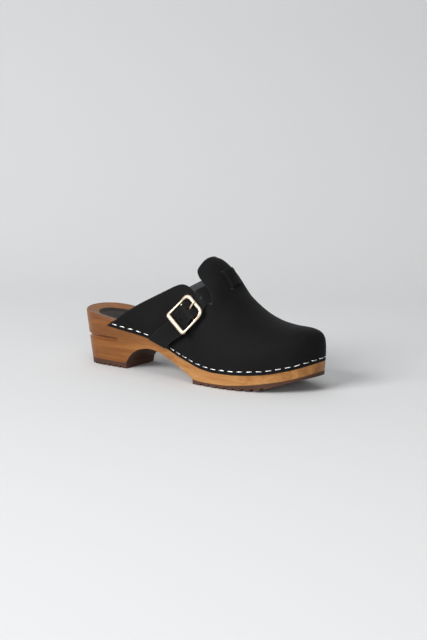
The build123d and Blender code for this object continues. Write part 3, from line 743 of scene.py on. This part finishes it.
class Ribbon:
    """The route of a strap: its grain side as a surface over run and distance across."""

    def __init__(self, stations, thickness):
        runs = run_lengths([centre for centre, _, _ in stations])

        def channel(pick):
            return smooth([(run, pick(station)) for run, station in zip(runs, stations)])

        self.centre = [channel(lambda station, axis=axis: station[0][axis]) for axis in range(3)]
        self.wide = [channel(lambda station, axis=axis: station[1][axis]) for axis in range(3)]
        self.width = channel(lambda station: station[2])
        self.length = runs[-1]
        self.thickness = thickness

    def middle(self, run):
        return Vector([axis(run) for axis in self.centre])

    def surface(self, run, across):
        inside = min(max(run, 0.5), self.length - 0.5)
        here = self.middle(inside)
        ahead = self.middle(inside + 0.5) - self.middle(inside - 0.5)
        flat = Vector([axis(run) for axis in self.wide]).normalized()
        out = flat.cross(ahead).normalized()
        here += ahead.normalized() * (run - inside)
        return here + out * (self.thickness / 2) + flat * across, out

    def outline(self):
        runs = [self.length * k / 60 for k in range(61)]
        near = [Vector((run, -self.width(run) / 2)) for run in runs]
        far = [Vector((run, self.width(run) / 2)) for run in reversed(runs)]
        return near + far

    def run_at_buckle(self, along):
        """Where the strap passes this distance along the buckle on the outer side."""
        runs = [self.length * k / 800 for k in range(320)]
        return min(runs, key=lambda run: abs((self.middle(run) - BUCKLE_CENTRE).dot(BUCKLE_ALONG) - along))


def round_hole(run, across, radius, stretch=0.0):
    """A round hole, or a slot with round ends when stretched along the run."""
    points = []
    for k in range(16):
        a = 2 * pi * k / 16
        shift = stretch if cos(a) > 0 else -stretch
        points.append(Vector((run + radius * cos(a) + shift, across + radius * sin(a))))
    return points


strap_route = Ribbon(strap_stations(), STRAP_THICKNESS)
strap_holes = [round_hole(strap_route.run_at_buckle(at), -0.6, HOLE_RADIUS) for at in HOLE_AT]
slot_run, slot_stretch = strap_route.run_at_buckle(PRONG_SLOT_AT), PRONG_SLOT_LENGTH / 2 - HOLE_RADIUS
strap_holes.append(round_hole(slot_run, -0.6, HOLE_RADIUS, slot_stretch))
strap = leather_piece(
    "instep_strap_leather", strap_route.outline(), strap_holes, strap_route.surface, STRAP_THICKNESS, 1.6,
    [STRAP_LEATHER, FLESH_SIDE, CUT_EDGE],
)
fit_to_frame(strap, "clog", "strap_leather", "instep_strap")

tab_route = Ribbon(tab_stations(), TAB_THICKNESS)
bar_run = min(
    (tab_route.length * k / 400 for k in range(401)),
    key=lambda run: -(tab_route.middle(run) - BUCKLE_CENTRE).dot(BUCKLE_ALONG),
)
slot_half = PRONG_RING_WIDTH / 2 + MOVING_GAP
tab_slot = [Vector((bar_run + a * 5.5, b * slot_half)) for a, b in ((-1, -1), (1, -1), (1, 1), (-1, 1))]
tab = leather_piece(
    "buckle_tab_leather", tab_route.outline(), [tab_slot], tab_route.surface, TAB_THICKNESS, 1.6,
    [STRAP_LEATHER, FLESH_SIDE, CUT_EDGE],
)
fit_to_frame(tab, "clog", "tab_leather", "buckle_tab")

# ---------------------------------------------------------------- wooden sole


def oval_half(x):
    """Half width of the heel pad at this place."""
    if x <= PAD_BACK_X or x >= PAD_FRONT_X:
        return 0.0
    if x < PAD_WIDEST_X:
        end = superellipse((PAD_WIDEST_X - x) / (PAD_WIDEST_X - PAD_BACK_X), 2.3)
    else:
        end = superellipse((x - PAD_WIDEST_X) / (PAD_FRONT_X - PAD_WIDEST_X), 3.2)
    return (PAD_HALF_WIDTH - PAD_TAPER * smooth_step((x - 30) / 50)) * end


def side_inset(x, z):
    """How far the side of the wood stands in from the plan outline."""
    depth = side_draft(x) * (rim_z(x) - z) / rim_z(x)
    if abs(z - GROOVE_Z) < GROOVE_RADIUS and x < GROOVE_END_X + GROOVE_RADIUS:
        end = min(1.0, (GROOVE_END_X + GROOVE_RADIUS - x) / GROOVE_RADIUS)
        depth += sqrt(GROOVE_RADIUS**2 - (z - GROOVE_Z) ** 2) * sqrt(max(0.0, 1 - (1 - end) ** 2))
    if x > TAIL_X and z > lower_edge_z(x):
        depth += (UPPER_THICKNESS + 0.05) * min(max((top_line_z(x) - z) / 1.2, 0.0), 1.0)
    below_rim = rim_z(x) - z
    if below_rim < RIM_ROUNDING:
        depth += RIM_ROUNDING - sqrt(max(0.0, RIM_ROUNDING**2 - (RIM_ROUNDING - below_rim) ** 2))
    return depth


def side_point(x, side, z):
    edge = outer_edge(x) if side < 0 else inner_edge(x)
    px, py = edge_inset(x, edge, side, side_inset(x, z))
    return Vector((px, py, z))


def make_wood():
    places = sorted(spread_places(200) + [HEEL_BREAST_X, HEEL_BREAST_X + 0.01])
    round_trip = [(x, -1) for x in places] + [(x, 1) for x in reversed(places[1:-1])]
    rows = 84
    points = []
    for row in range(rows + 1):
        for x, side in round_trip:
            low = HEEL_OUTSOLE_THICKNESS if x <= HEEL_BREAST_X else wood_bottom_z(x)
            share = row / rows
            share = share if share < 0.94 else 0.94 + 0.06 * sin((share - 0.94) / 0.06 * pi / 2)
            points.append(side_point(x, side, low + (rim_z(x) - low) * share))
    ring = len(round_trip)
    faces = grid_faces(rows + 1, ring, closed=True)
    last = len(places) - 1

    def station(row, k, side):
        return row * ring + (k if side < 0 or k in (0, last) else ring - k)

    across = 36
    for row, top in ((0, False), (rows, True)):
        strips = []
        for k in range(last + 1):
            a, b = station(row, k, -1), station(row, k, 1)
            line = [a]
            for j in range(1, across):
                if a == b:
                    line.append(a)
                    continue
                p = points[a].lerp(points[b], j / across)
                if top:
                    z = footbed_z(p.x, p.y)
                    if abs(p.y) < oval_half(p.x):
                        z -= SOCK_RECESS
                    p.z = z
                points.append(p)
                line.append(len(points) - 1)
            line.append(b)
            strips.append(line)
        for one, two in zip(strips, strips[1:]):
            for j in range(across):
                corners = [one[j], two[j], two[j + 1], one[j + 1]]
                if not top:
                    corners.reverse()
                face = tuple(dict.fromkeys(corners))
                if len(face) > 2:
                    faces.append(face)
    return build("wooden_sole_carved", points, faces, [VARNISHED_WOOD], sharp=40)


fit_to_frame(make_wood(), "clog", "sole_wood", "wooden_sole")

# ---------------------------------------------------------------- heel pad


def make_pad(name, top, bottom, margin, edge, material):
    """A pad on the footbed: an oval with a rounded upper edge."""
    rings, spokes = 16, 72
    places = []
    for k in range(spokes):
        a = 2 * pi * k / spokes
        x = PAD_MIDDLE_X - PAD_REACH * cos(a)
        places.append((x, oval_half(x) * (1 if sin(a) > 0 else -1)))
    centre = Vector((PAD_MIDDLE_X, 0))

    def ring_at(share, lift):
        for x, y in places:
            spoke = Vector((x, y)) - centre
            flat = centre + spoke * share * (1 + margin / max(spoke.length, 1.0))
            yield Vector((flat.x, flat.y, footbed_z(flat.x, flat.y) + lift))

    points = []
    for ring in range(rings + 1):
        share = ring / rings
        points += ring_at(share, top - smooth_step((share - 0.86) / 0.14) * edge)
    points += ring_at(1.0, bottom)
    faces = grid_faces(rings + 2, spokes, closed=True)
    faces.append(tuple((rings + 1) * spokes + k for k in reversed(range(spokes))))
    return build(name, points, [tuple(reversed(f)) for f in faces], [material], sharp=60)


foam = make_pad("sock_foam_pad", -SOCK_LINING, 0.05 - SOCK_RECESS, -1.0, 0.2, FOAM)
fit_to_frame(foam, "clog", "sock_foam", "sock_foam")
lining = make_pad("sock_lining_leather", 0.55, -SOCK_LINING, 1.0, 0.45, SOCK_LEATHER)
fit_to_frame(lining, "clog", "sock_leather", "sock_lining")

# ---------------------------------------------------------------- outsoles


def make_outsole(name, first, last, grooves, bottom_z, top_z):
    """Rubber under the wood, with square tread grooves across it."""
    stops = [(first, bottom_z(first))]
    marks = sorted([first, last] + [e for g in grooves for e in (g, g + TREAD_WIDTH)])
    for a, b in zip(marks, marks[1:]):
        sunk = TREAD_DEPTH if a in grooves else 0.0
        pieces = max(1, int((b - a) / 2.5))
        places = [a + (b - a) * k / pieces for k in range(pieces + 1)]
        stops += [(x, bottom_z(x) + sunk) for x in places]
    across = 16
    points, faces = [], []
    for x, low in stops:
        for z in (low, top_z(x)):
            a, b = side_point(x, -1, z), side_point(x, 1, z)
            points += [a.lerp(b, j / across) for j in range(across + 1)]
    line = across + 1
    for k in range(len(stops) - 1):
        here, there = 2 * k * line, 2 * (k + 1) * line
        for j in range(across):
            faces.append((here + j, here + j + 1, there + j + 1, there + j))
            faces.append((here + line + j, there + line + j, there + line + j + 1, here + line + j + 1))
        faces.append((here, there, there + line, here + line))
        faces.append((here + across, here + line + across, there + line + across, there + across))
    for start in (0, 2 * (len(stops) - 1) * line):
        for j in range(across):
            cap = (start + j, start + line + j, start + line + j + 1, start + j + 1)
            faces.append(cap if start == 0 else tuple(reversed(cap)))
    return build(name, points, faces, [OUTSOLE_RUBBER], sharp=30)


heel_grooves = [HEEL_TREAD_X + k * HEEL_TREAD_PITCH for k in range(HEEL_TREAD_COUNT)]
heel_outsole = make_outsole(
    "heel_outsole_rubber", HEEL_OUTSOLE_BACK_X - 3.0, HEEL_BREAST_X, heel_grooves, lambda x: 0.0,
    lambda x: HEEL_OUTSOLE_THICKNESS,
)
fit_to_frame(heel_outsole, "clog", "outsole_rubber", "heel_outsole")
fore_grooves = [FORE_TREAD_X + k * FORE_TREAD_PITCH for k in range(FORE_TREAD_COUNT)]
fore_outsole = make_outsole(
    "forefoot_outsole_rubber", FORE_OUTSOLE_X, LENGTH - 0.3, fore_grooves, rubber_bottom_z, wood_bottom_z
)
fit_to_frame(fore_outsole, "clog", "outsole_rubber", "forefoot_outsole")

# ---------------------------------------------------------------- tubes: staples and buckle


def tube(route, radii, sides, closed=False):
    """(points, faces) of a round tube along a route of points."""
    points = []
    for k, here in enumerate(route):
        if closed:
            way = route[(k + 1) % len(route)] - route[k - 1]
        else:
            way = route[min(k + 1, len(route) - 1)] - route[max(k - 1, 0)]
        way.normalize()
        side = way.cross(BUCKLE_OUT if abs(way.dot(BUCKLE_OUT)) < 0.9 else BUCKLE_ALONG).normalized()
        up = side.cross(way)
        for j in range(sides):
            a = 2 * pi * j / sides
            points.append(here + (side * cos(a) + up * sin(a)) * radii[k])
    if closed:
        return points, ring_faces(len(route), sides)
    faces = grid_faces(len(route), sides, closed=True)
    faces.append(tuple(reversed(range(sides))))
    faces.append(tuple(len(points) - sides + j for j in range(sides)))
    return points, faces


def outline_places():
    """Points round the edge of the leather, from the outer tail round the toe to the inner tail."""
    places = [x for x in spread_places(160) if x > TAIL_X]
    outer, inner = (
        [Vector((x, edge(x), lower_edge_z(x) + STAPLE_HEIGHT)) for x in places]
        for edge in (outer_edge, inner_edge)
    )
    return outer + inner[-2::-1]


def staple_places():
    points = outline_places()
    runs = run_lengths(points)
    axes = [smooth([(run, point[axis]) for run, point in zip(runs, points)]) for axis in range(3)]
    count = int((runs[-1] - 2 * STAPLE_PITCH) / STAPLE_PITCH)
    for k in range(count + 1):
        run = STAPLE_PITCH + (runs[-1] - 2 * STAPLE_PITCH) * k / count
        before, here, after = (Vector([axis(run + step) for axis in axes]) for step in (-1, 0, 1))
        yield here, (after - before).normalized()


def add_staple(points, faces, point, along, lift, tilt):
    inward = Vector((0, 0, 1)).cross(along).normalized()
    up = inward.cross(along)
    along = (along + up * tilt).normalized()
    half, corner = STAPLE_CROWN / 2 - STAPLE_WIRE / 2, 0.7
    proud = lift + STAPLE_WIRE * 0.42
    route = []
    for side in (-1, 1):
        bend = [(half, STAPLE_LEG), (half, 0.9), (half - 0.1, 0.2 * corner), (half - corner, -0.05),
                (0.2, 0.0)]
        legs = [point + along * (side * u) + inward * (v - proud) for u, v in bend]
        route += legs if side < 0 else legs[::-1]
    add_part(points, faces, *tube(route, [STAPLE_WIRE / 2] * len(route), 8))


groups = {"upper": ([], []), "buckle_tab": ([], []), "strap_end": ([], [])}
for number, (point, along) in enumerate(staple_places()):
    tilt = 0.05 * sin(2.4 * number) + 0.03 * sin(5.1 * number)
    if point.y < 0 and TAB_GAP[0] < point.x < TAB_GAP[1]:
        if TAB_STAPLES[0] < point.x < TAB_STAPLES[1]:
            add_staple(*groups["buckle_tab"], point, along, TAB_THICKNESS, tilt)
    elif point.y > 0 and STRAP_GAP[0] < point.x < STRAP_GAP[1]:
        if STRAP_STAPLES[0] < point.x < STRAP_STAPLES[1]:
            add_staple(*groups["strap_end"], point, along, STRAP_THICKNESS + 0.1, tilt)
    else:
        add_staple(*groups["upper"], point, along, 0.0, tilt)
for name, (points, faces) in groups.items():
    staples = build(f"{name}_wire_staples", points, faces, [BRIGHT_STEEL], sharp=60)
    fit_to_frame(staples, "clog", "staple_steel", f"{name}_staples")


def buckle_route():
    """(along, side, out, radius) round the frame: keeper bar, tapered side bars, round-cornered top bar."""
    share = (CENTRE_BAR_AT - KEEPER_AT) / (TOP_BAR_AT - KEEPER_AT)
    waist = KEEPER_HALF + (TOP_HALF - KEEPER_HALF) * share
    half = [
        (KEEPER_AT, 0.0, KEEPER_RISE, KEEPER_RADIUS),
        (KEEPER_AT, 5.0, KEEPER_RISE, KEEPER_RADIUS),
        (KEEPER_AT, KEEPER_HALF - 2.6, KEEPER_RISE, KEEPER_RADIUS),
        (KEEPER_AT + 0.5, KEEPER_HALF - 0.9, KEEPER_RISE, KEEPER_RADIUS * 0.97),
        (KEEPER_AT + 1.9, KEEPER_HALF - 0.1, KEEPER_RISE, 1.5),
        (KEEPER_AT + 4.5, KEEPER_HALF, KEEPER_RISE - 0.1, 1.15),
        (CENTRE_BAR_AT - 6, waist + 0.3, 0.4, 1.2),
        (CENTRE_BAR_AT, waist, 0.4, 1.35),
        (CENTRE_BAR_AT + 4, waist - 0.1, 0.7, 1.5),
        (TOP_BAR_AT - 4.6, TOP_HALF, 1.1, 1.7),
        (TOP_BAR_AT - 2.2, TOP_HALF - 0.8, TOP_BAR_RISE, 1.85),
        (TOP_BAR_AT - 0.8, TOP_HALF - 2.2, TOP_BAR_RISE, 1.9),
        (TOP_BAR_AT - 0.1, TOP_HALF - 4.6, TOP_BAR_RISE, 1.85),
        (TOP_BAR_AT - 0.1, 3.0, TOP_BAR_RISE, 1.8),
        (TOP_BAR_AT - 0.1, 0.0, TOP_BAR_RISE, 1.8),
    ]
    return half + [(along, -side, out, radius) for along, side, out, radius in half[-2:0:-1]]


def rounded_route(stops, steps=5):
    """Smooth closed route and radii through (along, side, out, radius) stops of the buckle."""
    route, radii = [], []
    for k in range(len(stops)):
        four = [Vector(stops[(k + d) % len(stops)]) for d in (-1, 0, 1, 2)]
        for step in range(steps):
            p = between(*four, step / steps)
            route.append(in_buckle(p[0], p[1], p[2]))
            radii.append(p[3])
    return route, radii


cast_points, cast_faces = tube(*rounded_route(buckle_route()), 16, closed=True)
buckle_ring = build("buckle_frame_cast", cast_points, cast_faces, [PALE_GOLD], sharp=60)
fit_to_frame(buckle_ring, "buckle", "buckle_metal", "buckle_frame")

bar = [in_buckle(CENTRE_BAR_AT, CENTRE_BAR_HALF * side, CENTRE_BAR_RISE) for side in (-1, -0.5, 0, 0.5, 1)]
bar_points, bar_faces = tube(bar, [CENTRE_BAR_RADIUS] * len(bar), 20)
centre_bar = build("buckle_bar_round", bar_points, bar_faces, [PALE_GOLD], sharp=40)
fit_to_frame(centre_bar, "buckle", "bar_metal", "buckle_centre_bar")


def make_prong():
    """A wire ring round the bar that runs out into a tapered, slightly bowed prong."""
    inner, outer = CENTRE_BAR_RADIUS + 0.08, CENTRE_BAR_RADIUS + 1.15
    points, turns = [], 28
    section = [(inner, -1), (outer - 0.3, -1), (outer, -0.7), (outer, 0.7), (outer - 0.3, 1), (inner, 1)]
    for k in range(turns):
        a = 2 * pi * k / turns
        for radius, side in section:
            out = CENTRE_BAR_RISE + radius * sin(a)
            points.append(in_buckle(CENTRE_BAR_AT + radius * cos(a), side * PRONG_RING_WIDTH / 2, out))
    faces = ring_faces(turns, len(section))
    end = TOP_BAR_RISE + TOP_BAR_RADIUS + PRONG_RADIUS + 0.2
    stops = [
        (CENTRE_BAR_AT + 1.6, -0.6, 1.15), (CENTRE_BAR_AT + 3.4, 0.6, 1.1),
        (CENTRE_BAR_AT + 6, 2.2, 1.05), (CENTRE_BAR_AT + 8.8, 3.5, 1.0),
        (TOP_BAR_AT - 0.2, end, 0.95), (TOP_BAR_AT + 1.6, end - 0.1, 0.8),
        (TOP_BAR_AT + 2.1, end - 0.15, 0.35),
    ]
    wire = tube([in_buckle(a, 0, out) for a, out, _ in stops], [radius for _, _, radius in stops], 14)
    add_part(points, faces, *wire)
    return points, faces


prong_points, prong_faces = make_prong()
prong = build("buckle_prong_wire", prong_points, prong_faces, [PALE_GOLD], sharp=45)
fit_to_frame(prong, "prong", "prong_metal", "buckle_prong")

# ---------------------------------------------------------------- floor, light and camera

VIEW_AZIMUTH, VIEW_ELEVATION = radians(33.04), radians(10.82)
VIEW_DISTANCE, VIEW_ROLL = 1.453, radians(-1.156)
AIM = (126.0, 0.0, 40.0)

back = Vector((sin(VIEW_AZIMUTH) * cos(VIEW_ELEVATION), -cos(VIEW_AZIMUTH) * cos(VIEW_ELEVATION),
               sin(VIEW_ELEVATION)))
level_right = Vector((cos(VIEW_AZIMUTH), sin(VIEW_AZIMUTH), 0))
level_up = back.cross(level_right)
camera_right = level_right * cos(VIEW_ROLL) - level_up * sin(VIEW_ROLL)
camera_up = level_up * cos(VIEW_ROLL) + level_right * sin(VIEW_ROLL)
camera_data = bpy.data.cameras.new("photo_view")
camera_data.sensor_width = 36.0
camera_data.lens = 86.46
camera_data.shift_x = 0.0197
camera_data.shift_y = 0.0197
camera = add_object("photo_view", camera_data)
spot = place(AIM) + back * VIEW_DISTANCE
camera.matrix_world = Matrix(
    ((camera_right.x, camera_up.x, back.x, spot.x), (camera_right.y, camera_up.y, back.y, spot.y),
     (camera_right.z, camera_up.z, back.z, spot.z), (0, 0, 0, 1))
)
bpy.context.scene.camera = camera


PAPER_LOW, PAPER_HIGH = (0.70, 0.707, 0.712, 1.0), (0.605, 0.615, 0.62, 1.0)  # painted shade: the paper darkens upwards


def make_cove():
    """A seamless paper sweep: level floor, wide curve, upright wall behind."""
    away = Vector((-back.x, -back.y, 0)).normalized()
    ahead, floor_end, curve, wall, half = -2.4, 0.45, 0.9, 3.0, 5.0
    profile = [(ahead, 0.0), (0.0, 0.0), (floor_end, 0.0)]
    for k in range(1, 25):
        a = pi / 2 * k / 24
        profile.append((floor_end + curve * sin(a), curve * (1 - cos(a))))
    profile.append((floor_end + curve, wall))
    points = []
    for run, rise in profile:
        for side in (-half, half):
            points.append(away * run + level_right * side + Vector((0, 0, rise)))
    mesh = bpy.data.meshes.new("paper_sweep")
    mesh.from_pydata(points, [], grid_faces(len(profile), 2))
    paint = Paint("paper")
    # Painted shade: the paper's colour moves towards the darker grey with height, standing in for light
    # falling off up the wall.
    shade_height_share = paint.range(paint.split(paint.coords)["Z"], 0.0, 1.0, 0.0, 0.35)
    shade = paint.mix(shade_height_share, PAPER_LOW, PAPER_HIGH)
    paint.set(Base_Color=shade, Roughness=0.9)
    mesh.materials.append(paint.material)
    mesh.shade_smooth()
    add_object("paper_sweep", mesh)


make_cove()


def area_light(name, position, target, size, power):
    data = bpy.data.lights.new(name, "AREA")
    data.shape = "RECTANGLE"
    data.size, data.size_y = size
    data.energy = power
    made = add_object(name, data)
    made.location = position
    made.rotation_euler = (Vector(target) - Vector(position)).to_track_quat("-Z", "Y").to_euler()


area_light("front_key", (-0.7, -2.9, 1.6), (0.0, 0.0, 0.04), (1.8, 1.5), 118.0)
area_light("overhead_softbox", (-0.2, 0.1, 1.9), (0.0, 0.1, 0.0), (1.3, 1.3), 5.0)
area_light("floor_wash", (0.25, -0.45, 0.95), (0.25, -0.44, 0.0), (0.5, 0.4), 1.4)
area_light("right_fill", (1.7, -1.5, 0.6), (0.05, 0.0, 0.02), (1.2, 0.8), 12.0)

world = bpy.data.worlds.new("studio")
world.use_nodes = True
sky = world.node_tree.nodes["Background"].inputs
sky["Color"].default_value = (0.985, 0.99, 1.0, 1.0)
sky["Strength"].default_value = 0.2
bpy.context.scene.world = world
bpy.context.scene.view_settings.view_transform = "Standard"
